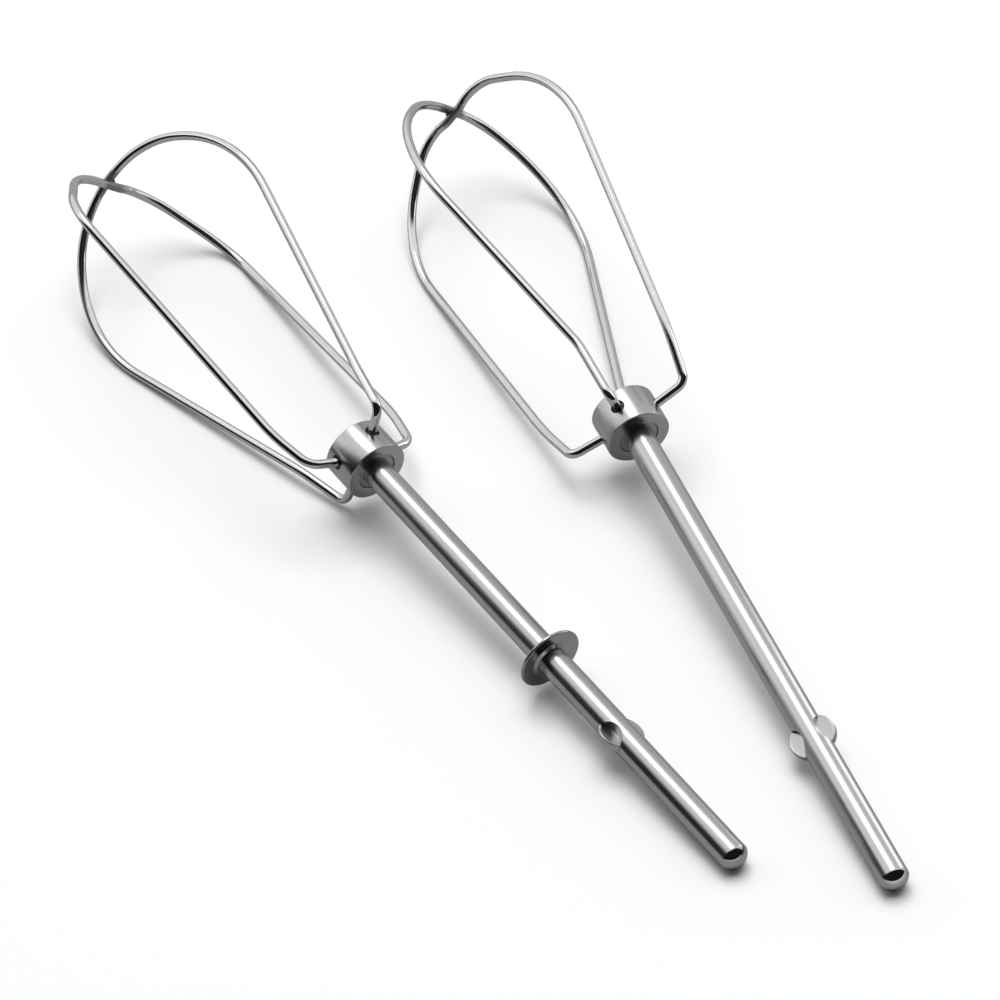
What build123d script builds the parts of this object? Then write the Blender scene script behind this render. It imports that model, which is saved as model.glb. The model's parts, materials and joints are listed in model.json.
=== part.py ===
from build123d import *
import math
import os

# A pair of wire beaters for a hand mixer, lying side by side on a table. All sizes in millimetres.
# Each beater is a steel rod with two pressed drive ears, a turned hub, a lock ring and two wire
# loops. It is modelled along +Y with its drive end at the origin, then rolled, pitched and turned
# to lie on the table. Stations on the rod are measured from the drive end, and stations on the
# wires from the hub's front face, which is the face towards the drive end.

# Driving dimensions
SHAFT_D = 5.5                # drive rod
WIRE_D = 1.7                 # loop wire
HUB_D = 12.3
HUB_LENGTH = 7.5
HUB_STATION = 110.3          # hub's front face, from the drive end
DOME_RADIUS = 3.0            # domed drive end
HUB_CHAMFER = 0.35
SHAFT_CHAMFER = 0.3          # at the rod's inner end, flush with the hub's back face
SEAT_GAP = 0.02              # radial gap of a pressed or brazed seat

SOCKET_MOUTH_D = 2.7         # countersunk mouth of each radial wire socket
SOCKET_MOUTH_DEPTH = 0.9
SOCKET_LIP = 0.15            # depth of the straight lip outside the mouth's cone
CUTTER_REACH = 1.0           # how far cutting tools stand out of the surface

LOCK_RING_D = 7.7
LOCK_RING_LENGTH = 1.3
LOCK_RING_RECESS = 0.15      # how far the ring lies under the hub's face
LOCK_RING_SEAM = 0.08        # seam between ring and hub
LOCK_RING_CHAMFER = 0.15

COLLAR_STATION = 56.3        # middle of the stop collar, ring beater only
COLLAR_D = 12.5
COLLAR_LENGTH = 1.5
COLLAR_RIM = 0.6
COLLAR_RIM_ROUNDING = 0.27
COLLAR_FRONT_BOSS = 0.6      # width of the thick part next to the rod, drive side
COLLAR_FRONT_SLOPE = 0.6     # width of the slope from there to the thin part
COLLAR_BACK_SLOPE = 0.8
COLLAR_DISH = 0.05           # how far the thin part is dished on the drive side

EAR_STATION = 35.0           # middle of the drive ears
EAR_SPAN = 8.76              # over both ears
EAR_THICKNESS = 1.3
EAR_LENGTH = 6.2
EAR_PRESS_DEPTH = 1.35       # how near the axis the pressed flats reach
EAR_EDGE = 0.2
EAR_POINT = 2.85             # distance of the ear's two points from the axis
EAR_SWELL = 0.03             # the rod is this much fatter where the ears are pressed
EAR_SWELL_MARGIN = 0.6       # and the swelling runs this far past them

TIP_OVERLAP = 0.05           # the two loops are welded where they cross

# Wire loops: each bend is (station, distance from the axis, bend radius). The cage is twisted about
# the axis between the hub and the shoulder, and second_turn is the share of that twist left over
# at the second bend.
RING_TIP = 90.4              # where the ring beater's outer loop crosses the axis
PLAIN_TIP = 89.9
RING_JOG = 0.2               # how far each inner loop steps inwards to pass under the outer one
PLAIN_JOG = 0.5
RING_UNDER = RING_TIP - WIRE_D + TIP_OVERLAP
PLAIN_UNDER = PLAIN_TIP - WIRE_D + TIP_OVERLAP
RING_OUTER = dict(first=(4.9, 11.4, 2.25), second=(15.7, 12.3, 30.0), second_turn=0.56,
                  shoulder=(71.8, 25.6, 27.0), crown=(RING_TIP, 10.3, 21.0), jog=0)
RING_INNER = dict(first=(5.4, 11.9, 3.2), second=(14.0, 14.3, 40.0), second_turn=0.9,
                  shoulder=(74.6, 24.1, 13.1), crown=(RING_UNDER + RING_JOG, 11.1, 15.5), jog=RING_JOG)
PLAIN_OUTER = dict(first=(4.1, 9.6, 2.1), second=(17.3, 10.9, 14.0), second_turn=1.0,
                   shoulder=(72.4, 25.1, 29.5), crown=(PLAIN_TIP, 8.0, 15.4), jog=0)
PLAIN_INNER = dict(first=(4.7, 12.5, 2.5), second=(15.2, 15.4, 40.0), second_turn=0.5,
                   shoulder=(75.1, 24.8, 23.0), crown=(PLAIN_UNDER + PLAIN_JOG, 9.0, 11.0), jog=PLAIN_JOG)
JOG_START = 4.2              # where the inner loop starts to step inwards, from the axis
JOG_END = 2.0
JOG_BEND = 2.0

CAGE_TWIST = 24.0            # degrees, from hub to shoulder, opposite hands on the two beaters
SPREAD_ANGLE = 12.6          # between the two shafts, seen from above
DRIVE_END_GAP = 20.3         # between the drive ends, across the pair
DRIVE_END_STAGGER = 19.2     # the plain beater's drive end is this much further back

# Settling on the table: rounds of correction, points tested along each wire, degrees of pitch
# to start from, and degrees of roll and pitch for each millimetre that a leg is off the table
SETTLE_ROUNDS = 50
SETTLE_POINTS = 400
SETTLE_START_PITCH = 4.0
SETTLE_ROLL_STEP = 1.0
SETTLE_PITCH_STEP = 0.125

SHAFT_R = SHAFT_D / 2
WIRE_R = WIRE_D / 2
HUB_R = HUB_D / 2
SOCKET_STATION = HUB_LENGTH / 2
WIRE_END_GAP = 0.15          # the wires' ends stop just short of the shaft
WIRE_START = SHAFT_R + WIRE_END_GAP
SWELL_START = EAR_STATION - EAR_LENGTH / 2 - EAR_SWELL_MARGIN
SWELL_END = EAR_STATION + EAR_LENGTH / 2 + EAR_SWELL_MARGIN
DOME_HEIGHT = DOME_RADIUS - math.sqrt(DOME_RADIUS ** 2 - SHAFT_R ** 2)


def polar(station, radius, angle):
    """A point at a station along the axis, a distance from it and an angle round it."""
    turn = math.radians(angle)
    return Vector(-radius * math.cos(turn), station, radius * math.sin(turn))


def revolved(outline):
    """Turns an outline of (radius, station) points about the beater's axis."""
    return revolve(make_face(Polyline(*outline, close=True)), axis=Axis.Y)


def ear_outline():
    """Almond outline of a drive ear, pointed at both ends, with its inner side sunk into the rod."""
    near = (EAR_POINT, EAR_STATION - EAR_LENGTH / 2)
    far = (EAR_POINT, EAR_STATION + EAR_LENGTH / 2)
    outer = ThreePointArc(near, (EAR_SPAN / 2, EAR_STATION), far)
    inner = ThreePointArc(far, (EAR_PRESS_DEPTH, EAR_STATION), near)
    return make_face(Curve() + [outer, inner])


def shaft():
    """Ground rod with a domed drive end and two ears pressed out of its own metal."""
    length = HUB_STATION + HUB_LENGTH
    dome = RadiusArc((0, 0), (SHAFT_R, DOME_HEIGHT), -DOME_RADIUS)
    side = Polyline((SHAFT_R, DOME_HEIGHT), (SHAFT_R, SWELL_START), (SHAFT_R + EAR_SWELL, EAR_STATION),
                    (SHAFT_R, SWELL_END), (SHAFT_R, length), (0, length), (0, 0))
    rod = revolve(make_face(Curve() + [dome, side]), axis=Axis.Y)
    rod = chamfer(rod.edges().sort_by(Axis.Y)[-1], SHAFT_CHAMFER)
    fin = extrude(ear_outline(), amount=EAR_THICKNESS / 2, both=True)
    fin = chamfer([edge for edge in fin.edges() if abs(edge.center().Z) > EAR_THICKNESS / 4], EAR_EDGE)
    pressed = extrude(ear_outline(), amount=SHAFT_D)
    for angle in (0, 180):
        side_turn = Rot(0, angle, 0)
        for flip in (1, -1):
            cut = pressed.moved(Pos(0, 0, EAR_THICKNESS / 2))
            if flip < 0:
                cut = mirror(cut, about=Plane.XY)
            rod -= side_turn * cut
        rod += side_turn * fin
    return rod


def socket_cutter():
    """What is bored out for one wire socket, along +Y from the axis: hole and countersunk mouth."""
    hole = WIRE_R + SEAT_GAP
    mouth = SOCKET_MOUTH_D / 2
    top = HUB_R - SOCKET_LIP
    outside = HUB_R + CUTTER_REACH
    return revolved([(0, 0), (hole, 0), (hole, top - SOCKET_MOUTH_DEPTH), (mouth, top), (mouth, outside),
                     (0, outside)])


def lean(loop):
    """How far a wire's first run leans from radial towards the tip, in degrees."""
    station, radius, _ = loop["first"]
    return math.degrees(math.atan2(station - SOCKET_STATION, radius))


def hub(outer, inner):
    """Turned drum, bored for the shaft, with four wire sockets and a recess for the lock ring."""
    bore = SHAFT_R + SEAT_GAP
    recess = LOCK_RING_D / 2 + LOCK_RING_SEAM
    recess_floor = LOCK_RING_RECESS + LOCK_RING_LENGTH
    low = HUB_CHAMFER
    high = HUB_LENGTH - HUB_CHAMFER
    drum = revolved([(recess, 0), (HUB_R - low, 0), (HUB_R, low), (HUB_R, high), (HUB_R - low, HUB_LENGTH),
                     (bore, HUB_LENGTH), (bore, recess_floor), (recess, recess_floor)])
    for angle, loop in ((0, inner), (90, outer), (180, inner), (270, outer)):
        outward = Pos(0, SOCKET_STATION, 0) * Rot(0, angle, 0) * Rot(0, 0, 90 - lean(loop))
        drum = drum - outward * socket_cutter()
    return drum.moved(Pos(0, HUB_STATION, 0))


def lock_ring():
    """Ring pressed round the shaft into the hub's front face."""
    inside = SHAFT_R + SEAT_GAP
    outside = LOCK_RING_D / 2
    start = LOCK_RING_RECESS
    end = start + LOCK_RING_LENGTH
    ring = revolved([(inside, start), (outside, start), (outside, end), (inside, end)])
    edges = ring.edges().filter_by(GeomType.CIRCLE).group_by(Axis.Y)[0]
    return chamfer(edges, LOCK_RING_CHAMFER).moved(Pos(0, HUB_STATION, 0))


def stop_collar():
    """Thin disc pressed on the rod, a little thicker at the rod than at its rounded rim."""
    inside = SHAFT_R + SEAT_GAP
    half = COLLAR_LENGTH / 2
    rim = COLLAR_RIM / 2
    outside = COLLAR_D / 2
    boss = inside + COLLAR_FRONT_BOSS
    disc = revolved([(inside, -half), (boss, -half), (boss + COLLAR_FRONT_SLOPE, -rim - COLLAR_DISH),
                     (outside, -rim), (outside, rim), (inside + COLLAR_BACK_SLOPE, half), (inside, half)])
    rim_edges = disc.edges().filter_by(GeomType.CIRCLE).sort_by(SortBy.RADIUS)[-2:]
    return fillet(rim_edges, COLLAR_RIM_ROUNDING).moved(Pos(0, COLLAR_STATION, 0))


def loop_route(loop, first_angle, twist):
    """Points and bend radii of a loop, from one socket over the tip to the opposite socket."""
    second_share = loop["second_turn"]
    tilt = math.radians(lean(loop))
    start = SOCKET_STATION + WIRE_START * math.sin(tilt)
    points = [polar(start, WIRE_START * math.cos(tilt), first_angle)]
    radii = []
    bends = [(loop["first"], 1.0), (loop["second"], second_share), (loop["shoulder"], 0), (loop["crown"], 0)]
    if loop["jog"]:
        station = loop["crown"][0]
        bends.append(((station, JOG_START, JOG_BEND), 0))
        bends.append(((station - loop["jog"], JOG_END, JOG_BEND), 0))
    for (station, radius, bend), share in bends:
        points.append(polar(station, radius, first_angle + twist * (1 - share)))
        radii.append(bend)
    half_turn = Rot(0, 180, 0)
    back = [(half_turn * Pos(*point)).position for point in reversed(points)]
    return points + back, radii + radii[::-1]


def wire_loop(loop, first_angle, twist):
    """Round wire swept along its route: straight runs joined by tangent arcs."""
    points, radii = loop_route(loop, first_angle, twist)
    route = FilletPolyline(*points, radius=radii).moved(Pos(0, HUB_STATION, 0))
    start = Plane(origin=route @ 0, z_dir=route % 0)
    return sweep(start * Circle(WIRE_R), path=route), route


def settle(inner_route, outer_route, twist):
    """Roll, pitch and lift at which the drive end and two neighbouring legs touch the table."""
    shares = [step / SETTLE_POINTS for step in range(SETTLE_POINTS + 1)]
    inner_points = [inner_route @ share for share in shares]
    outer_points = [outer_route @ share for share in shares]
    hand = math.copysign(1, twist)
    roll = twist
    pitch = SETTLE_START_PITCH
    for _ in range(SETTLE_ROUNDS):
        place = Rot(pitch, 0, 0) * Rot(0, roll, 0)
        slope = math.radians(pitch)
        lift = SHAFT_R * math.cos(slope) - DOME_HEIGHT * math.sin(slope)
        inner_gap = min((place * Pos(*point)).position.Z for point in inner_points) + lift - WIRE_R
        outer_gap = min((place * Pos(*point)).position.Z for point in outer_points) + lift - WIRE_R
        roll += hand * SETTLE_ROLL_STEP * (inner_gap - outer_gap)
        pitch -= SETTLE_PITCH_STEP * (inner_gap + outer_gap)
    return roll, pitch, lift


def make_beater(outer, inner, hand, collar):
    """The pieces of one beater by name, and where it lies: its roll, pitch and lift."""
    twist = hand * CAGE_TWIST
    outer_wire, outer_route = wire_loop(outer, 90, twist)
    inner_wire, inner_route = wire_loop(inner, 0, twist)
    pieces = dict(shaft=shaft(), hub=hub(outer, inner), lock_ring=lock_ring(), outer_loop=outer_wire,
                  inner_loop=inner_wire)
    if collar:
        pieces["stop_collar"] = stop_collar()
    return pieces, settle(inner_route, outer_route, twist)


def lay_down(settled, side):
    """Where a beater lies, before the pair is centred: side is -1 for the ring beater, 1 for the plain."""
    roll, pitch, lift = settled
    start = Pos(side * DRIVE_END_GAP / 2, -side * DRIVE_END_STAGGER / 2, lift)
    return start * Rot(0, 0, -side * SPREAD_ANGLE / 2) * Rot(pitch, 0, 0) * Rot(0, roll, 0)


ring_pieces, ring_settled = make_beater(RING_OUTER, RING_INNER, 1, collar=True)
plain_pieces, plain_settled = make_beater(PLAIN_OUTER, PLAIN_INNER, -1, collar=False)

placed = {}
for name, pieces, settled, side in (("ring", ring_pieces, ring_settled, -1),
                                    ("plain", plain_pieces, plain_settled, 1)):
    place = lay_down(settled, side)
    print(name, "beater: roll %.2f, pitch %.2f, lift %.3f" % settled)
    for piece, solid in pieces.items():
        placed[name + "_" + piece] = place * solid

box = placed["ring_shaft"].bounding_box()
for solid in placed.values():
    box = box.add(solid.bounding_box())
centre = Pos(-(box.min.X + box.max.X) / 2, -(box.min.Y + box.max.Y) / 2, -box.min.Z)
print("pair is %.1f x %.1f x %.1f mm" % tuple(box.size))

os.makedirs("parts", exist_ok=True)
for name, solid in placed.items():
    whole = centre * solid
    export_step(whole, "parts/" + name + ".step")
    print(name, "volume %.1f" % whole.volume)

for name, settled, side in (("ring", ring_settled, -1), ("plain", plain_settled, 1)):
    place = centre * lay_down(settled, side)
    for station in (0, (DOME_HEIGHT + SWELL_START) / 2, HUB_STATION):
        point = (place * Pos(0, station, 0)).position
        print(name, "station %.2f at %.4f, %.4f, %.4f" % (station, *point))
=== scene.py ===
import json
import math

import bmesh
import bpy
from mathutils import Euler, Matrix, Quaternion, Vector, noise


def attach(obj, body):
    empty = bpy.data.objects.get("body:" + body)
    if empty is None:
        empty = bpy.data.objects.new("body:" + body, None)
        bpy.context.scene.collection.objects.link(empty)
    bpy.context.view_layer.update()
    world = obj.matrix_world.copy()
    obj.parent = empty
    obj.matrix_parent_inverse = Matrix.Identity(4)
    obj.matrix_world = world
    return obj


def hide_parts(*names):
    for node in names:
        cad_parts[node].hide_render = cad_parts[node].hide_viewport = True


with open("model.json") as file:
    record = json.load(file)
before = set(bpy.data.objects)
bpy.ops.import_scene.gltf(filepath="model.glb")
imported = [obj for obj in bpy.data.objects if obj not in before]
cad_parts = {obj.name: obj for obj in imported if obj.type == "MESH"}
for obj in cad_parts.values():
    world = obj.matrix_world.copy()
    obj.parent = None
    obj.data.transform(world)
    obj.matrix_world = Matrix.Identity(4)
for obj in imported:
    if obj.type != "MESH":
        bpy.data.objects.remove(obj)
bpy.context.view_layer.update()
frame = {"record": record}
mm = 0.001  # the beaters' sizes are in mm, and the studio's in metres
mergeWithin = 0.0005
cornerSteps = 4
sharpFrom = 32  # degrees between two faces that make a hard edge

# stations are counted along a beater from its drive end
beater = dict(hubStation=110.3, shaftR=2.75, hubR=6.15, hubLength=7.5)
ringLie = dict(name="ring", body="ring_beater", mount="ring_drive_shank", roll=23.16, hand=1)
plainLie = dict(name="plain", body="plain_beater", mount="plain_drive_shank", roll=-21.77, hand=-1)


def lieMatrix(lie):
    # how one beater rests on the table, from its own axis to the shared frame
    mount = [m for m in frame["record"]["mounts"] if m["name"] == lie["mount"]][0]
    along = -Vector(mount["axis"]).normalized()
    heading = math.atan2(-along.x, along.y)
    pitch = math.asin(along.z)
    start = Vector(mount["pos_m"]) - along * (mountMiddle() * mm)
    turn = Matrix.Rotation(heading, 4, "Z") @ Matrix.Rotation(pitch, 4, "X")
    return Matrix.Translation(start) @ turn @ Matrix.Rotation(math.radians(lie["roll"]), 4, "Y")


def lathe(profile, steps, closed=True):
    # profile is (radius, station), turned about the beater's own axis
    bm = bmesh.new()
    verts = [bm.verts.new((-radius, station, 0)) for radius, station in profile]
    edges = [bm.edges.new(pair) for pair in zip(verts, verts[1:])]
    if closed:
        edges.append(bm.edges.new((verts[-1], verts[0])))
    bmesh.ops.spin(bm, geom=verts + edges, cent=(0, 0, 0), axis=(0, 1, 0), angle=math.tau,
                   steps=steps, use_merge=True)
    bmesh.ops.remove_doubles(bm, verts=bm.verts, dist=mergeWithin)
    bmesh.ops.recalc_face_normals(bm, faces=bm.faces)
    return bm


def arcPoints(centre, radius, fromAngle, toAngle, count):
    points = []
    for step in range(count + 1):
        angle = math.radians(fromAngle + (toAngle - fromAngle) * step / count)
        points.append((centre[0] + radius * math.cos(angle), centre[1] + radius * math.sin(angle)))
    return points


def roundedProfile(corners):
    # corners are (radius, station, rounding): each corner becomes a small arc
    profile = []
    count = len(corners)
    for index, (x, y, rounding) in enumerate(corners):
        here = Vector((x, y))
        if rounding == 0:
            profile.append((x, y))
            continue
        before = (Vector(corners[index - 1][:2]) - here).normalized()
        after = (Vector(corners[(index + 1) % count][:2]) - here).normalized()
        half = before.angle(after) / 2
        reach = rounding / math.tan(half)
        centre = here + (before + after).normalized() * (rounding / math.sin(half))
        start = (here + before * reach) - centre
        end = (here + after * reach) - centre
        for step in range(cornerSteps + 1):
            spoke = start.lerp(end, step / cornerSteps).normalized() * rounding
            profile.append(tuple(centre + spoke))
    return profile


def meshFrom(bm, name):
    mesh = bpy.data.meshes.new(name)
    bm.to_mesh(mesh)
    bm.free()
    return mesh


def newObject(mesh, name):
    piece = bpy.data.objects.new(name, mesh)
    bpy.context.scene.collection.objects.link(piece)
    return piece


def finishedMesh(piece):
    # the mesh that an object's modifiers or curve settings make of it
    graph = bpy.context.evaluated_depsgraph_get()
    return bpy.data.meshes.new_from_object(piece.evaluated_get(graph))


def carve(piece, tool, operation):
    cutter = newObject(meshFrom(tool, "tool"), "tool")
    step = piece.modifiers.new("carve", "BOOLEAN")
    step.object = cutter
    step.operation = operation
    step.solver = "MANIFOLD"
    mesh = finishedMesh(piece)
    piece.modifiers.clear()
    piece.data = mesh
    bpy.data.objects.remove(cutter)


def settlePiece(piece, lie, material, replaced=()):
    # keeps where each point was made, for the patterns, then lays the piece on the table
    mesh = piece.data
    places = mesh.attributes.new("madeAt", "FLOAT_VECTOR", "POINT")
    coords = [0.0] * (3 * len(mesh.vertices))
    mesh.vertices.foreach_get("co", coords)
    places.data.foreach_set("vector", coords)
    mesh.transform(lieMatrix(lie) @ Matrix.Scale(mm, 4))
    mesh.materials.clear()
    mesh.materials.append(material)
    mesh.shade_smooth()
    mesh.set_sharp_from_angle(angle=math.radians(sharpFrom))
    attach(piece, lie["body"])
    if replaced:
        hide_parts(*replaced)


def feed(tree, socket, value):
    # a number or a colour is set on the socket, and another node's output is linked to it
    if isinstance(value, (int, float, tuple)):
        socket.default_value = value
    else:
        tree.links.new(value, socket)


def nodeGroup(name, inputs, outputs):
    group = bpy.data.node_groups.new(name, "ShaderNodeTree")
    for label, value in inputs:
        socket = group.interface.new_socket(name=label, in_out="INPUT", socket_type="NodeSocketFloat")
        socket.default_value = value
    for label, kind in outputs:
        group.interface.new_socket(name=label, in_out="OUTPUT", socket_type=kind)
    start = group.nodes.new("NodeGroupInput")
    end = group.nodes.new("NodeGroupOutput")
    return group, start, end


def placeGroup(tree, group, **values):
    node = tree.nodes.new("ShaderNodeGroup")
    node.node_tree = group
    for label, value in values.items():
        feed(tree, node.inputs[label.replace("_", " ")], value)
    return node


def mathNode(tree, operation, *values):
    node = tree.nodes.new("ShaderNodeMath")
    node.operation = operation
    for socket, value in zip(node.inputs, values):
        feed(tree, socket, value)
    return node.outputs[0]


def noiseNode(tree, **values):
    node = tree.nodes.new("ShaderNodeTexNoise")
    for label, value in values.items():
        feed(tree, node.inputs[label], value)
    return node


def mixColours(tree, factor, first, second):
    node = tree.nodes.new("ShaderNodeMix")
    node.data_type = "RGBA"
    for label, value in (("Factor", factor), ("A", first), ("B", second)):
        feed(tree, node.inputs[label], value)
    return node.outputs["Result"]


def bumpNode(tree, height, strength, distance):
    node = tree.nodes.new("ShaderNodeBump")
    for label, value in (("Strength", strength), ("Distance", distance), ("Height", height)):
        feed(tree, node.inputs[label], value)
    return node.outputs[0]


def softStep(tree, value, low, high, start=0.0, end=1.0):
    node = tree.nodes.new("ShaderNodeMapRange")
    node.interpolation_type = "SMOOTHSTEP"
    labels = ("Value", "From Min", "From Max", "To Min", "To Max")
    for label, given in zip(labels, (value, low, high, start, end)):
        feed(tree, node.inputs[label], given)
    return node.outputs[0]


def newMaterial(name):
    material = bpy.data.materials.new(name)
    material.use_nodes = True
    tree = material.node_tree
    return material, tree, tree.nodes["Principled BSDF"]


def madeAt(tree):
    node = tree.nodes.new("ShaderNodeAttribute")
    node.attribute_name = "madeAt"
    return node.outputs["Vector"]


ringMarks = dict(detail=3, roughness=0.6, depth=0.000004, polishedShare=0.3, polishedFade=0.25)


def makeToolRings():
    # fine rings left by turning or grinding: they follow the station and the distance from the axis
    group, start, end = nodeGroup(
        "toolRings",
        [("Per mm", 9.0), ("Roughness", 0.25), ("Spread", 0.08), ("Depth", 0.1), ("Polished up to", 0.0)],
        [("Roughness", "NodeSocketFloat"), ("Tone", "NodeSocketFloat"), ("Normal", "NodeSocketVector")])
    look = ringMarks
    split = group.nodes.new("ShaderNodeSeparateXYZ")
    feed(group, split.inputs[0], madeAt(group))
    across = mathNode(group, "ADD", mathNode(group, "MULTIPLY", split.outputs[0], split.outputs[0]),
                      mathNode(group, "MULTIPLY", split.outputs[2], split.outputs[2]))
    along = mathNode(group, "ADD", mathNode(group, "SQRT", across), split.outputs[1])
    rings = noiseNode(group, Detail=look["detail"], Roughness=look["roughness"], Scale=1)
    rings.noise_dimensions = "1D"
    feed(group, rings.inputs["W"], mathNode(group, "MULTIPLY", along, start.outputs["Per mm"]))
    # the domed end is polished, and the ground rings stop at its edge
    polished = start.outputs["Polished up to"]
    polishedEnd = mathNode(group, "ADD", polished, look["polishedFade"])
    ground = softStep(group, split.outputs[1], polished, polishedEnd, start=look["polishedShare"])
    centred = mathNode(group, "SUBTRACT", rings.outputs[0], 0.5)
    swing = mathNode(group, "MULTIPLY", centred, start.outputs["Spread"])
    rough = mathNode(group, "ADD", start.outputs["Roughness"], swing)
    feed(group, end.inputs["Roughness"], mathNode(group, "MULTIPLY", rough, ground))
    feed(group, end.inputs["Tone"], rings.outputs[0])
    strength = mathNode(group, "MULTIPLY", start.outputs["Depth"], ground)
    feed(group, end.inputs["Normal"], bumpNode(group, rings.outputs[0], strength, look["depth"]))
    return group


smears = dict(scale=120.0, detail=3, distortion=0.6)


def makeHandling():
    # soft smears from handling and washing, a few millimetres across
    inputs = [("Roughness", 0.2), ("Amount", 0.08), ("Scale", smears["scale"])]
    group, start, end = nodeGroup("handling", inputs, [("Roughness", "NodeSocketFloat")])
    coords = group.nodes.new("ShaderNodeTexCoord")
    smear = noiseNode(group, Vector=coords.outputs["Object"], Scale=start.outputs["Scale"],
                      Detail=smears["detail"], Distortion=smears["distortion"])
    centred = mathNode(group, "SUBTRACT", smear.outputs[0], 0.5)
    swing = mathNode(group, "MULTIPLY", centred, start.outputs["Amount"])
    feed(group, end.inputs["Roughness"], mathNode(group, "ADD", start.outputs["Roughness"], swing))
    return group


burn = dict(station=199.6, reach=4.0, raggedScale=0.9, raggedDetail=4, ragged=2.4, fadeIn=0.6, fadeOut=1.0,
            tone=(0.2, 0.19, 0.185, 1), cover=0.75, dulls=0.28)


def makeHeatMark():
    # the dull patch that spot welding leaves on the wires around the tip of the cage
    group, start, end = nodeGroup("heatMark", [("Station", burn["station"]), ("Reach", burn["reach"])],
                                  [("Mask", "NodeSocketFloat")])
    place = madeAt(group)
    centre = group.nodes.new("ShaderNodeCombineXYZ")
    feed(group, centre.inputs[1], start.outputs["Station"])
    away = group.nodes.new("ShaderNodeVectorMath")
    away.operation = "DISTANCE"
    feed(group, away.inputs[0], place)
    feed(group, away.inputs[1], centre.outputs[0])
    ragged = noiseNode(group, Vector=place, Scale=burn["raggedScale"], Detail=burn["raggedDetail"])
    edge = mathNode(group, "ADD", away.outputs["Value"],
                    mathNode(group, "MULTIPLY", ragged.outputs[0], burn["ragged"]))
    fadeStart = mathNode(group, "SUBTRACT", start.outputs["Reach"], burn["fadeIn"])
    fadeEnd = mathNode(group, "ADD", start.outputs["Reach"], burn["fadeOut"])
    feed(group, end.inputs["Mask"], softStep(group, edge, fadeStart, fadeEnd, start=1.0, end=0.0))
    return group


toolRings = makeToolRings()
handling = makeHandling()
heatMark = makeHeatMark()


def steelMaterial(name, look):
    # the tone wanders from dark to light with the tool rings
    material, tree, shader = newMaterial(name)
    shader.inputs["Metallic"].default_value = 1
    hands = placeGroup(tree, handling, Roughness=look["roughness"], Amount=look["smear"])
    rings = placeGroup(tree, toolRings, Per_mm=look["ringsPerMm"], Roughness=hands.outputs["Roughness"],
                       Spread=look["ringSpread"], Depth=look["ringDepth"],
                       Polished_up_to=look.get("polishedUpTo", -1.0))
    dark, light = ((grey, grey, grey, 1) for grey in (look["dark"], look["light"]))
    tone = mixColours(tree, rings.outputs["Tone"], dark, light)
    rough = rings.outputs["Roughness"]
    if look.get("weldedAt"):
        mark = placeGroup(tree, heatMark, Station=look["weldedAt"]).outputs["Mask"]
        tone = mixColours(tree, mathNode(tree, "MULTIPLY", mark, burn["cover"]), tone, burn["tone"])
        rough = mathNode(tree, "ADD", rough, mathNode(tree, "MULTIPLY", mark, burn["dulls"]))
    feed(tree, shader.inputs["Base Color"], tone)
    feed(tree, shader.inputs["Roughness"], rough)
    feed(tree, shader.inputs["Normal"], rings.outputs["Normal"])
    return material


weldLook = dict(grain=1600, detail=5, pit=(0.03, 0.029, 0.028, 1), pitUpTo=0.35, ridge=(0.26, 0.25, 0.24, 1),
                ridgeFrom=0.7, roughness=0.2, roughnessSpread=0.35, bump=0.7, bumpDepth=0.0001)


def weldMaterial():
    # dull metal round a weld: mottled, pitted and a little burnt
    look = weldLook
    material, tree, shader = newMaterial("weldMetal")
    shader.inputs["Metallic"].default_value = 1
    coords = tree.nodes.new("ShaderNodeTexCoord")
    grain = noiseNode(tree, Vector=coords.outputs["Object"], Scale=look["grain"], Detail=look["detail"])
    pits = grain.outputs[0]
    ramp = tree.nodes.new("ShaderNodeValToRGB")
    pit, ridge = ramp.color_ramp.elements
    pit.position, pit.color = look["pitUpTo"], look["pit"]
    ridge.position, ridge.color = look["ridgeFrom"], look["ridge"]
    feed(tree, ramp.inputs[0], pits)
    feed(tree, shader.inputs["Base Color"], ramp.outputs[0])
    spread = mathNode(tree, "MULTIPLY", pits, look["roughnessSpread"])
    feed(tree, shader.inputs["Roughness"], mathNode(tree, "ADD", spread, look["roughness"]))
    feed(tree, shader.inputs["Normal"], bumpNode(tree, pits, look["bump"], look["bumpDepth"]))
    return material


steelLooks = dict(
    groundSteel=dict(dark=0.50, light=0.60, roughness=0.24, ringsPerMm=7, ringSpread=0.10, ringDepth=0.2,
                     smear=0.04, polishedUpTo=1.8),
    turnedSteel=dict(dark=0.46, light=0.58, roughness=0.23, ringsPerMm=3.5, ringSpread=0.12, ringDepth=0.6,
                     smear=0.05),
    ringSteel=dict(dark=0.34, light=0.46, roughness=0.24, ringsPerMm=3.0, ringSpread=0.14, ringDepth=0.8,
                   smear=0.05),
    collarSteel=dict(dark=0.36, light=0.5, roughness=0.12, ringsPerMm=2.2, ringSpread=0.08, ringDepth=0.5,
                     smear=0.05),
    wireSteel=dict(dark=0.68, light=0.76, roughness=0.1, ringsPerMm=0.6, ringSpread=0.04, ringDepth=0.06,
                   smear=0.05, weldedAt=burn["station"]))
metals = {name: steelMaterial(name, look) for name, look in steelLooks.items()}
metals["weldMetal"] = weldMaterial()
print("materials ready")

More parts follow.
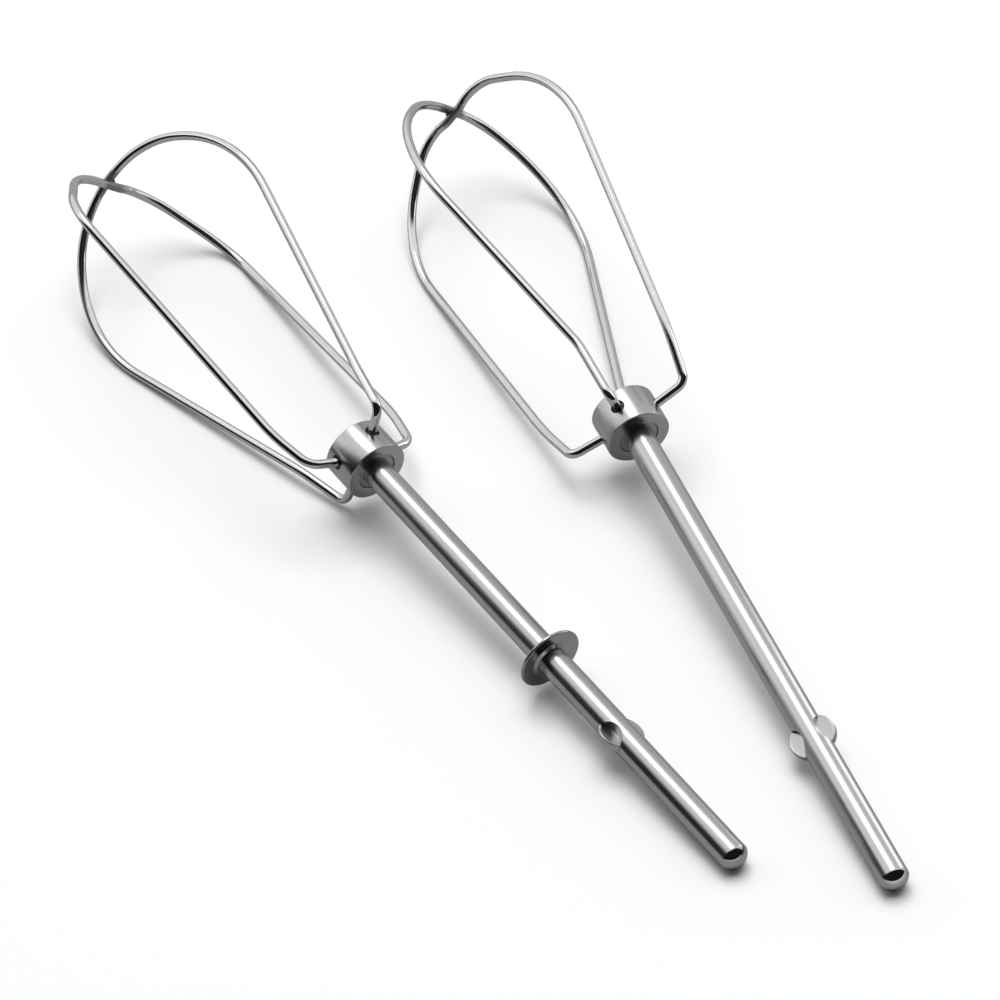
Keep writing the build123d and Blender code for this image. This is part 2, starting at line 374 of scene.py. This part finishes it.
shaftSize = dict(domeRadius=3.0, domeSteps=20, domeRun=0.25, length=117.8, endChamfer=0.3, steps=160,
                 frontRings=(12, 22), ringGap=0.55, earRings=13, backRings=(45, 60, 80, 100),
                 earStation=35.0, earLength=6.2, earSpan=8.76, earPoint=2.85, earThickness=1.3,
                 earEdge=0.17, earSteps=24, swellRun=0.6, pressDepth=1.35, pressGap=0.12, pressHeight=3,
                 rimWidth=0.2, rimDrop=0.06, rimTurns=(90, 67, 45, 22, 0), faceDish=0.07,
                 dishLevels=((1, 0.3), (0.9, 0.55), (0.6, 0.8), (0, 1)))


def domeHeight():
    radius = shaftSize["domeRadius"]
    return radius - math.sqrt(radius ** 2 - beater["shaftR"] ** 2)


def mountMiddle():
    # the drive shank's mount is halfway between the dome and the swelling before the ears
    size = shaftSize
    return (domeHeight() + size["earStation"] - size["earLength"] / 2 - size["swellRun"]) / 2


def almondSide(reach, shrink=0.0):
    # one side of the ear's outline, from its drive-end point to its hub-end point
    size = shaftSize
    half = size["earLength"] / 2 - shrink
    rise = reach - size["earPoint"]
    radius = (half ** 2 + rise ** 2) / (2 * abs(rise))
    sign = 1 if rise > 0 else -1
    centre = (reach - sign * radius, size["earStation"])
    spread = math.degrees(math.asin(half / radius))
    if sign > 0:
        return arcPoints(centre, radius, -spread, spread, size["earSteps"])
    return arcPoints(centre, radius, 180 + spread, 180 - spread, size["earSteps"])


def almondStack(inner, outer, shrink, levels):
    # a solid of almond outlines, one above the other: each level is a height and a scale
    outline = almondSide(outer, shrink) + almondSide(inner, shrink)[-2:0:-1]
    middle = Matrix.Translation((-(inner + outer) / 2, -shaftSize["earStation"], 0))
    bm = bmesh.new()
    height, scale = levels[0]
    face = bm.faces.new([bm.verts.new((x, y, height)) for x, y in outline])
    bmesh.ops.scale(bm, verts=bm.verts[:], vec=(scale, scale, 1), space=middle)
    for nextHeight, nextScale in levels[1:]:
        grown = bmesh.ops.extrude_face_region(bm, geom=[face])
        if len(bm.faces) > len(outline) + 2:  # the face between two levels would close the solid off inside
            bmesh.ops.delete(bm, geom=[face], context="FACES_ONLY")
        face = [item for item in grown["geom"] if isinstance(item, bmesh.types.BMFace)][0]
        grow = nextScale / scale
        bmesh.ops.scale(bm, verts=face.verts[:], vec=(grow, grow, 1), space=middle)
        bmesh.ops.translate(bm, verts=face.verts[:], vec=(0, 0, nextHeight - height))
        height, scale = nextHeight, nextScale
    bmesh.ops.recalc_face_normals(bm, faces=bm.faces)
    return bm


def makeFin():
    # the ear itself, with its rim rounded by the die
    size = shaftSize
    half = size["earThickness"] / 2
    edge = size["earEdge"]
    width = size["earSpan"] / 2 - size["pressDepth"]
    rim = []
    for degrees in size["rimTurns"]:
        turn = math.radians(degrees)
        rim.append((half - edge + edge * math.sin(turn), 1 - 2 * edge * (1 - math.cos(turn)) / width))
    levels = [(-height, scale) for height, scale in rim] + rim[::-1]
    return almondStack(size["pressDepth"], size["earSpan"] / 2, 0, levels)


def makePress():
    # what the die presses away above one face, slightly crowned so that the face comes out dished
    size = shaftSize
    floor = size["earThickness"] / 2 - size["rimDrop"]
    levels = [(floor - share * size["faceDish"], scale) for share, scale in size["dishLevels"]]
    levels.append((floor + size["pressHeight"], 1))
    return almondStack(size["pressDepth"], size["earSpan"] / 2 - size["rimWidth"], size["pressGap"], levels)


def spun(bm, degrees, axis, station=0):
    # turns a tool about the beater's axis, or about a crosswise axis at a station
    bmesh.ops.rotate(bm, verts=bm.verts, cent=(0, station, 0),
                     matrix=Matrix.Rotation(math.radians(degrees), 3, axis))
    return bm


def makeShaft(lie):
    size = shaftSize
    radius = size["domeRadius"]
    shaftR = beater["shaftR"]
    top = math.degrees(math.asin(shaftR / radius))
    profile = arcPoints((0, radius), radius, -90, -90 + top, size["domeSteps"])
    profile.append((shaftR, domeHeight() + size["domeRun"]))
    # rings of points along the rod, close together under the ears
    near = size["earStation"] - size["earLength"] / 2
    stations = [*size["frontRings"], near - 1]
    stations += [near - 0.2 + step * size["ringGap"] for step in range(size["earRings"])]
    stations += size["backRings"]
    profile += [(shaftR, station) for station in stations]
    profile.append((shaftR, size["length"] - size["endChamfer"]))
    profile.append((shaftR - size["endChamfer"], size["length"]))
    profile.append((0, size["length"]))
    name = lie["name"] + "Shaft"
    piece = newObject(meshFrom(lathe(profile, size["steps"], closed=False), name), name)
    for turn in (0, 180):
        carve(piece, spun(makeFin(), turn, "Y"), "UNION")
    for turn in (0, 180):
        for flip in (0, 180):
            press = spun(makePress(), flip, "X", size["earStation"])
            carve(piece, spun(press, turn, "Y"), "DIFFERENCE")
    settlePiece(piece, lie, metals["groundSteel"], [lie["name"] + "_shaft"])


hubSize = dict(steps=144, bore=2.77, boreEdge=0.1, recess=3.93, recessEdge=0.06, recessFloor=1.45,
               rounding=0.2, mouth=1.36, mouthDepth=0.8, mouthEdge=0.12, mouthRise=0.08, hole=0.88,
               holeFrom=1.5, lip=0.15, socketSteps=40)


def lean(loop):
    # degrees by which a wire's first run leans away from square to the hub
    station, radius = loop["first"][:2]
    return math.degrees(math.atan2(station - beater["hubLength"] / 2, radius))


def socketPlace(middle, turn, loop):
    place = Matrix.Translation((0, middle, 0)) @ Matrix.Rotation(math.radians(turn), 4, "Y")
    return place @ Matrix.Rotation(math.radians(90 - lean(loop)), 4, "Z")


def sockets(outer, inner):
    return (0, inner), (90, outer), (180, inner), (270, outer)


def socketCutter(turn, loop):
    size = hubSize
    top = beater["hubR"] - size["lip"]
    floor = top - size["mouthDepth"]
    over = top + 1
    profile = [(0, size["holeFrom"]), (size["hole"], size["holeFrom"]), (size["hole"], floor),
               (size["mouth"] - size["mouthEdge"], floor + size["mouthRise"]), (size["mouth"], top),
               (size["mouth"], over), (0, over)]
    bm = lathe(profile, size["socketSteps"], closed=False)
    bmesh.ops.transform(bm, matrix=socketPlace(beater["hubLength"] / 2, turn, loop), verts=bm.verts)
    return bm


def makeHub(lie, outer, inner):
    size = hubSize
    length = beater["hubLength"]
    corners = [(size["recess"], 0.0, size["recessEdge"]), (beater["hubR"], 0.0, size["rounding"]),
               (beater["hubR"], length, size["rounding"]), (size["bore"], length, size["boreEdge"]),
               (size["bore"], size["recessFloor"], 0), (size["recess"], size["recessFloor"], 0)]
    name = lie["name"] + "Hub"
    piece = newObject(meshFrom(lathe(roundedProfile(corners), size["steps"]), name), name)
    for turn, loop in sockets(outer, inner):
        carve(piece, socketCutter(turn, loop), "DIFFERENCE")
    piece.data.transform(Matrix.Translation((0, beater["hubStation"], 0)))
    settlePiece(piece, lie, metals["turnedSteel"], [lie["name"] + "_hub"])


def makeTurned(lie, name, corners, steps, station, material, node):
    bm = lathe(roundedProfile(corners), steps)
    bmesh.ops.translate(bm, verts=bm.verts, vec=(0, station, 0))
    settlePiece(newObject(meshFrom(bm, name), name), lie, metals[material], [node])


lockRing = dict(inside=2.77, insideEdge=0.06, outside=3.85, outsideEdge=0.12, start=0.15, end=1.45,
                steps=128)


def makeLockRing(lie):
    size = lockRing
    corners = [(size["inside"], size["start"], size["insideEdge"]),
               (size["outside"], size["start"], size["outsideEdge"]),
               (size["outside"], size["end"], 0), (size["inside"], size["end"], 0)]
    makeTurned(lie, lie["name"] + "LockRing", corners, size["steps"], beater["hubStation"], "ringSteel",
               lie["name"] + "_lock_ring")


collarSize = dict(station=56.3, inside=2.77, outside=6.25, half=0.75, rim=0.3, rimEdge=0.25, bossWidth=0.5,
                  bossEdge=0.12, bossRoot=1.1, rootRise=0.05, backWidth=0.8, fillet=0.3, steps=144)


def makeCollar(lie):
    # a boss towards the drive end, a thin disc, and a low shoulder behind it
    size = collarSize
    inside, half, rim = size["inside"], size["half"], size["rim"]
    corners = [(inside, -half, 0), (inside + size["bossWidth"], -half, size["bossEdge"]),
               (inside + size["bossRoot"], -rim - size["rootRise"], size["fillet"]),
               (size["outside"], -rim, size["rimEdge"]), (size["outside"], rim, size["rimEdge"]),
               (inside + size["backWidth"], half, size["fillet"]), (inside, half, 0)]
    makeTurned(lie, "ringStopCollar", corners, size["steps"], size["station"], "collarSteel",
               "ring_stop_collar")


# a loop's corners are (station from the hub, radius, bend radius), and its turns are shares of the twist
wireSize = dict(radius=0.85, start=2.9, overlap=0.05, twist=24.0, jogStart=4.2, jogEnd=2.0, jogBend=2.0,
                bendSteps=14, roundSteps=10)
ringTip = 90.4
plainTip = 89.9
under = 2 * wireSize["radius"] - wireSize["overlap"]
ringOuter = dict(first=(4.9, 11.4, 2.25), second=(15.7, 12.3, 30.0), secondTurn=0.56,
                 shoulder=(71.8, 25.6, 27.0), crown=(ringTip, 10.3, 21.0), jog=0)
ringInner = dict(first=(5.4, 11.9, 3.2), second=(14.0, 14.3, 40.0), secondTurn=0.9,
                 shoulder=(74.6, 24.1, 13.1), crown=(ringTip - under + 0.2, 11.1, 15.5), jog=0.2)
plainOuter = dict(first=(4.1, 9.6, 2.1), second=(17.3, 10.9, 14.0), secondTurn=1.0,
                  shoulder=(72.4, 25.1, 29.5), crown=(plainTip, 8.0, 15.4), jog=0)
plainInner = dict(first=(4.7, 12.5, 2.5), second=(15.2, 15.4, 40.0), secondTurn=0.5,
                  shoulder=(75.1, 24.8, 23.0), crown=(plainTip - under + 0.5, 9.0, 11.0), jog=0.5)


def polar(station, radius, angle):
    turn = math.radians(angle)
    return Vector((-radius * math.cos(turn), station, radius * math.sin(turn)))


def loopRoute(loop, firstAngle, twist):
    # corner points and bend radii of one wire, from its socket over the tip to the opposite socket
    tilt = math.radians(lean(loop))
    start = beater["hubLength"] / 2 + wireSize["start"] * math.sin(tilt)
    points = [polar(start, wireSize["start"] * math.cos(tilt), firstAngle)]
    bends = [(loop["first"], 1.0), (loop["second"], loop["secondTurn"]), (loop["shoulder"], 0),
             (loop["crown"], 0)]
    if loop["jog"]:  # the lower wire dips below the upper one where they are welded
        station = loop["crown"][0]
        bends.append(((station, wireSize["jogStart"], wireSize["jogBend"]), 0))
        bends.append(((station - loop["jog"], wireSize["jogEnd"], wireSize["jogBend"]), 0))
    radii = []
    for (station, radius, bend), share in bends:
        points.append(polar(station, radius, firstAngle + twist * (1 - share)))
        radii.append(bend)
    back = [Vector((-p.x, p.y, -p.z)) for p in reversed(points)]
    return points + back, radii + radii[::-1]


def wireCurve(name, points, radii):
    # straight runs joined by round bends, as Bezier points at both ends of each bend
    knots = []
    for index, bend in enumerate(radii, start=1):
        here = points[index]
        before = (points[index - 1] - here).normalized()
        after = (points[index + 1] - here).normalized()
        turn = math.pi - before.angle(after)
        reach = bend * math.tan(turn / 2)
        pull = bend * 4 / 3 * math.tan(turn / 4)
        knots.append((here + before * reach, -before, pull, "in"))
        knots.append((here + after * reach, after, pull, "out"))
    knots.insert(0, (points[0], (points[1] - points[0]).normalized(), 0, "end"))
    knots.append((points[-1], (points[-1] - points[-2]).normalized(), 0, "end"))
    curve = bpy.data.curves.new(name, "CURVE")
    curve.dimensions = "3D"
    curve.resolution_u = wireSize["bendSteps"]
    curve.bevel_depth = wireSize["radius"]
    curve.bevel_resolution = wireSize["roundSteps"]
    curve.use_fill_caps = True
    spline = curve.splines.new("BEZIER")
    spline.bezier_points.add(len(knots) - 1)
    for index, (place, direction, pull, kind) in enumerate(knots):
        point = spline.bezier_points[index]
        point.co = place
        leftRun = (place - knots[index - 1][0]).length / 3 if index else 1
        rightRun = (knots[index + 1][0] - place).length / 3 if index + 1 < len(knots) else 1
        left = pull if kind == "out" else leftRun
        right = pull if kind == "in" else rightRun
        point.handle_left = place - direction * left
        point.handle_right = place + direction * right
    return curve


def makeWire(lie, label, loop, firstAngle, node):
    points, radii = loopRoute(loop, firstAngle, lie["hand"] * wireSize["twist"])
    name = lie["name"] + label
    curve = wireCurve(name, points, radii)
    holder = newObject(curve, name + "Curve")
    mesh = finishedMesh(holder)
    mesh.name = name
    bpy.data.objects.remove(holder)
    bpy.data.curves.remove(curve)
    mesh.transform(Matrix.Translation((0, beater["hubStation"], 0)))
    settlePiece(newObject(mesh, name), lie, metals["wireSteel"], [node])


socketWeld = dict(ring=1.0, bead=0.26, beadTo=330, beadSteps=11, steps=40, seat=0.28, lump=0.12,
                  outScale=2.1, alongScale=1.3)


def makeSocketWelds(lie, outer, inner):
    # a lumpy bead down in the mouth of each socket, round the wire
    size = socketWeld
    seat = beater["hubR"] - hubSize["lip"] - hubSize["mouthDepth"] + size["seat"]
    whole = bmesh.new()
    for turn, loop in sockets(outer, inner):
        bead = lathe(arcPoints((size["ring"], 0), size["bead"], 0, size["beadTo"], size["beadSteps"]),
                     size["steps"])
        for vert in bead.verts:
            wobble = noise.noise(vert.co * size["outScale"] + Vector((turn, lie["hand"] * 7, 0)))
            vert.co += vert.co.normalized() * wobble * size["lump"]
            vert.co.y += noise.noise(vert.co * size["alongScale"] + Vector((0, turn, 3))) * size["lump"]
        place = socketPlace(beater["hubStation"] + beater["hubLength"] / 2, turn, loop)
        bmesh.ops.transform(bead, matrix=place @ Matrix.Translation((0, seat, 0)), verts=bead.verts)
        part = meshFrom(bead, "bead")
        whole.from_mesh(part)
        bpy.data.meshes.remove(part)
    name = lie["name"] + "SocketWelds"
    settlePiece(newObject(meshFrom(whole, name), name), lie, metals["weldMetal"])


tipWeld = dict(across=1.05, along=0.5, grain=2.4, lump=0.22)


def makeTipWeld(lie, tip):
    # the nugget squeezed out where the two loops are spot welded together
    size = tipWeld
    bm = bmesh.new()
    bmesh.ops.create_icosphere(bm, subdivisions=4, radius=1)
    for vert in bm.verts:
        flat = Vector((vert.co.x * size["across"], vert.co.y * size["along"], vert.co.z * size["across"]))
        seed = Vector((lie["hand"] * 5, 0, 2))
        flat += vert.co * noise.noise(vert.co * size["grain"] + seed) * size["lump"]
        vert.co = flat
    station = beater["hubStation"] + tip - wireSize["radius"]
    bmesh.ops.translate(bm, verts=bm.verts, vec=(0, station, 0))
    name = lie["name"] + "TipWeld"
    settlePiece(newObject(meshFrom(bm, name), name), lie, metals["weldMetal"])


for lie, outer, inner, tip in ((ringLie, ringOuter, ringInner, ringTip),
                               (plainLie, plainOuter, plainInner, plainTip)):
    makeShaft(lie)
    makeHub(lie, outer, inner)
    makeLockRing(lie)
    makeWire(lie, "OuterLoop", outer, 90, lie["name"] + "_outer_loop")
    makeWire(lie, "InnerLoop", inner, 0, lie["name"] + "_inner_loop")
    makeSocketWelds(lie, outer, inner)
    makeTipWeld(lie, tip)
    print(lie["name"], "beater made")
makeCollar(ringLie)
print("collar made")

# the floor as the steel mirrors it is painted: a darker tone is painted shade, and a lighter tone towards
# the front is painted light
studio = dict(floorHalf=2.5, floorRoughness=0.7, floorGloss=0.1, floorSeen=(0.93, 0.94, 0.95, 1),
              mirroredFloorPaintedShade=(0.36, 0.365, 0.37, 1), frontPaintedLight=(0.72, 0.72, 0.72, 1), frontFrom=-0.11,
              frontFull=-0.128)


def makeFloor():
    bm = bmesh.new()
    bmesh.ops.create_grid(bm, x_segments=1, y_segments=1, size=studio["floorHalf"])
    floor = newObject(meshFrom(bm, "floor"), "floor")
    material, tree, shader = newMaterial("tableTop")
    shader.inputs["Roughness"].default_value = studio["floorRoughness"]
    shader.inputs["Specular IOR Level"].default_value = studio["floorGloss"]
    # white to the eye and a darker copy in the steel, painted shade on the mirrored floor, so that bright
    # metal keeps its edges against it
    rays = tree.nodes.new("ShaderNodeLightPath")
    coords = tree.nodes.new("ShaderNodeTexCoord")
    split = tree.nodes.new("ShaderNodeSeparateXYZ")
    feed(tree, split.inputs[0], coords.outputs["Object"])
    # towards the front the mirrored floor is painted lighter, a painted pool of light seen only in the
    # steel's reflections
    front = softStep(tree, split.outputs[1], studio["frontFrom"], studio["frontFull"])
    mirroredPaintedTone = mixColours(tree, front, studio["mirroredFloorPaintedShade"], studio["frontPaintedLight"])
    tone = mixColours(tree, rays.outputs["Is Camera Ray"], mirroredPaintedTone, studio["floorSeen"])
    feed(tree, shader.inputs["Base Color"], tone)
    floor.data.materials.append(material)


flag = dict(place=(-0.2, 0.037, 0.085), size=(0.1, 0.17), turn=58, tone=(0.01, 0.01, 0.01, 1), roughness=0.9)


def makeFlag():
    # a dark card beside the drive ends, seen only in the steel, that puts a black band on the shafts
    bm = bmesh.new()
    bmesh.ops.create_grid(bm, x_segments=1, y_segments=1, size=0.5)
    bmesh.ops.scale(bm, verts=bm.verts, vec=(*flag["size"], 1))
    upright = Euler((math.radians(90), 0, math.radians(flag["turn"]))).to_matrix().to_4x4()
    bmesh.ops.transform(bm, matrix=Matrix.Translation(flag["place"]) @ upright, verts=bm.verts)
    card = newObject(meshFrom(bm, "flag"), "flag")
    material, tree, shader = newMaterial("blackCard")
    shader.inputs["Base Color"].default_value = flag["tone"]
    shader.inputs["Roughness"].default_value = flag["roughness"]
    shader.inputs["Specular IOR Level"].default_value = 0.0
    card.data.materials.append(material)
    card.visible_camera = False
    card.visible_diffuse = False
    card.visible_shadow = False


# panels are azimuth, elevation, inner and outer radius in degrees, and how much light they add
room = dict(azimuth=28, elevation=15, darkUpTo=0.1, brightFrom=0.3, tone=1.0, dark=0.012, backdrop=0.98,
            panels=[(16, 60, 2, 15, 3.6), (45, 4, 6, 36, -0.42), (-40, 34, 3, 9, 0.35),
                    (-8, 20, 5, 30, -0.15), (50, 36, 5, 24, -0.28), (-52, 6, 4, 13, -0.14)])


def direction(azimuth, elevation):
    # azimuth is from +Y towards +X
    a, e = math.radians(azimuth), math.radians(elevation)
    return Vector((math.sin(a) * math.cos(e), math.cos(a) * math.cos(e), math.sin(e)))


def facing(tree, coords, azimuth, elevation):
    dot = tree.nodes.new("ShaderNodeVectorMath")
    dot.operation = "DOT_PRODUCT"
    dot.inputs[1].default_value = direction(azimuth, elevation)
    feed(tree, dot.inputs[0], coords.outputs["Generated"])
    return dot.outputs["Value"]


def makeSurroundings():
    # the room that the metal mirrors: a pale tent behind, a dark room in front and a few soft panels
    world = bpy.data.worlds.new("studioRoom")
    bpy.context.scene.world = world
    world.use_nodes = True
    tree = world.node_tree
    back = tree.nodes["Background"]
    coords = tree.nodes.new("ShaderNodeTexCoord")
    total = softStep(tree, facing(tree, coords, room["azimuth"], room["elevation"]), room["darkUpTo"],
                     room["brightFrom"], end=room["tone"])
    for azimuth, elevation, inner, outer, tone in room["panels"]:
        spot = softStep(tree, facing(tree, coords, azimuth, elevation), math.cos(math.radians(outer)),
                        math.cos(math.radians(inner)), end=tone)
        total = mathNode(tree, "ADD", total, spot)
    total = mathNode(tree, "MAXIMUM", total, room["dark"])
    rays = tree.nodes.new("ShaderNodeLightPath")
    seen = tree.nodes.new("ShaderNodeMix")
    for label, value in (("Factor", rays.outputs["Is Camera Ray"]), ("A", total), ("B", room["backdrop"])):
        feed(tree, seen.inputs[label], value)
    feed(tree, back.inputs["Strength"], seen.outputs["Result"])
    back.inputs["Color"].default_value = (1, 1, 1, 1)


ceiling = dict(place=(0.25, 0.25, 1.4), target=(0, 0, 0), size=(1.2, 1.2), power=13.2)
sideCard = dict(place=(0.186, -0.01, 0.05), target=(0.012, -0.095, 0.003), size=(0.08, 0.09), power=0.028)
camera = dict(place=(-0.29062, -0.64640, 0.76916), target=(-0.00202, 0.01025, 0.0), roll=-7.32, lens=204.93,
              sensor=36, reach=10)


def aimed(thing):
    # turns a light or a camera, which look down their own -Z, from its place to its target
    return (Vector(thing["target"]) - Vector(thing["place"])).to_track_quat("-Z", "Y")


def softBox(name, box):
    data = bpy.data.lights.new(name, "AREA")
    data.shape = "RECTANGLE"
    data.size, data.size_y = box["size"]
    data.energy = box["power"]
    lamp = newObject(data, name)
    lamp.location = box["place"]
    lamp.rotation_euler = aimed(box).to_euler()
    return lamp


def makeCamera():
    lens = bpy.data.cameras.new("camera")
    lens.lens = camera["lens"]
    lens.sensor_width = camera["sensor"]
    lens.clip_end = camera["reach"]
    viewer = newObject(lens, "camera")
    roll = Quaternion((0, 0, 1), math.radians(camera["roll"]))
    viewer.rotation_euler = (aimed(camera) @ roll).to_euler()
    viewer.location = camera["place"]
    bpy.context.scene.camera = viewer


makeFloor()
makeSurroundings()
softBox("ceiling", ceiling).visible_glossy = False
softBox("sideCard", sideCard).visible_diffuse = False
makeFlag()
makeCamera()
bpy.context.scene.view_settings.view_transform = "Standard"
print("studio ready")
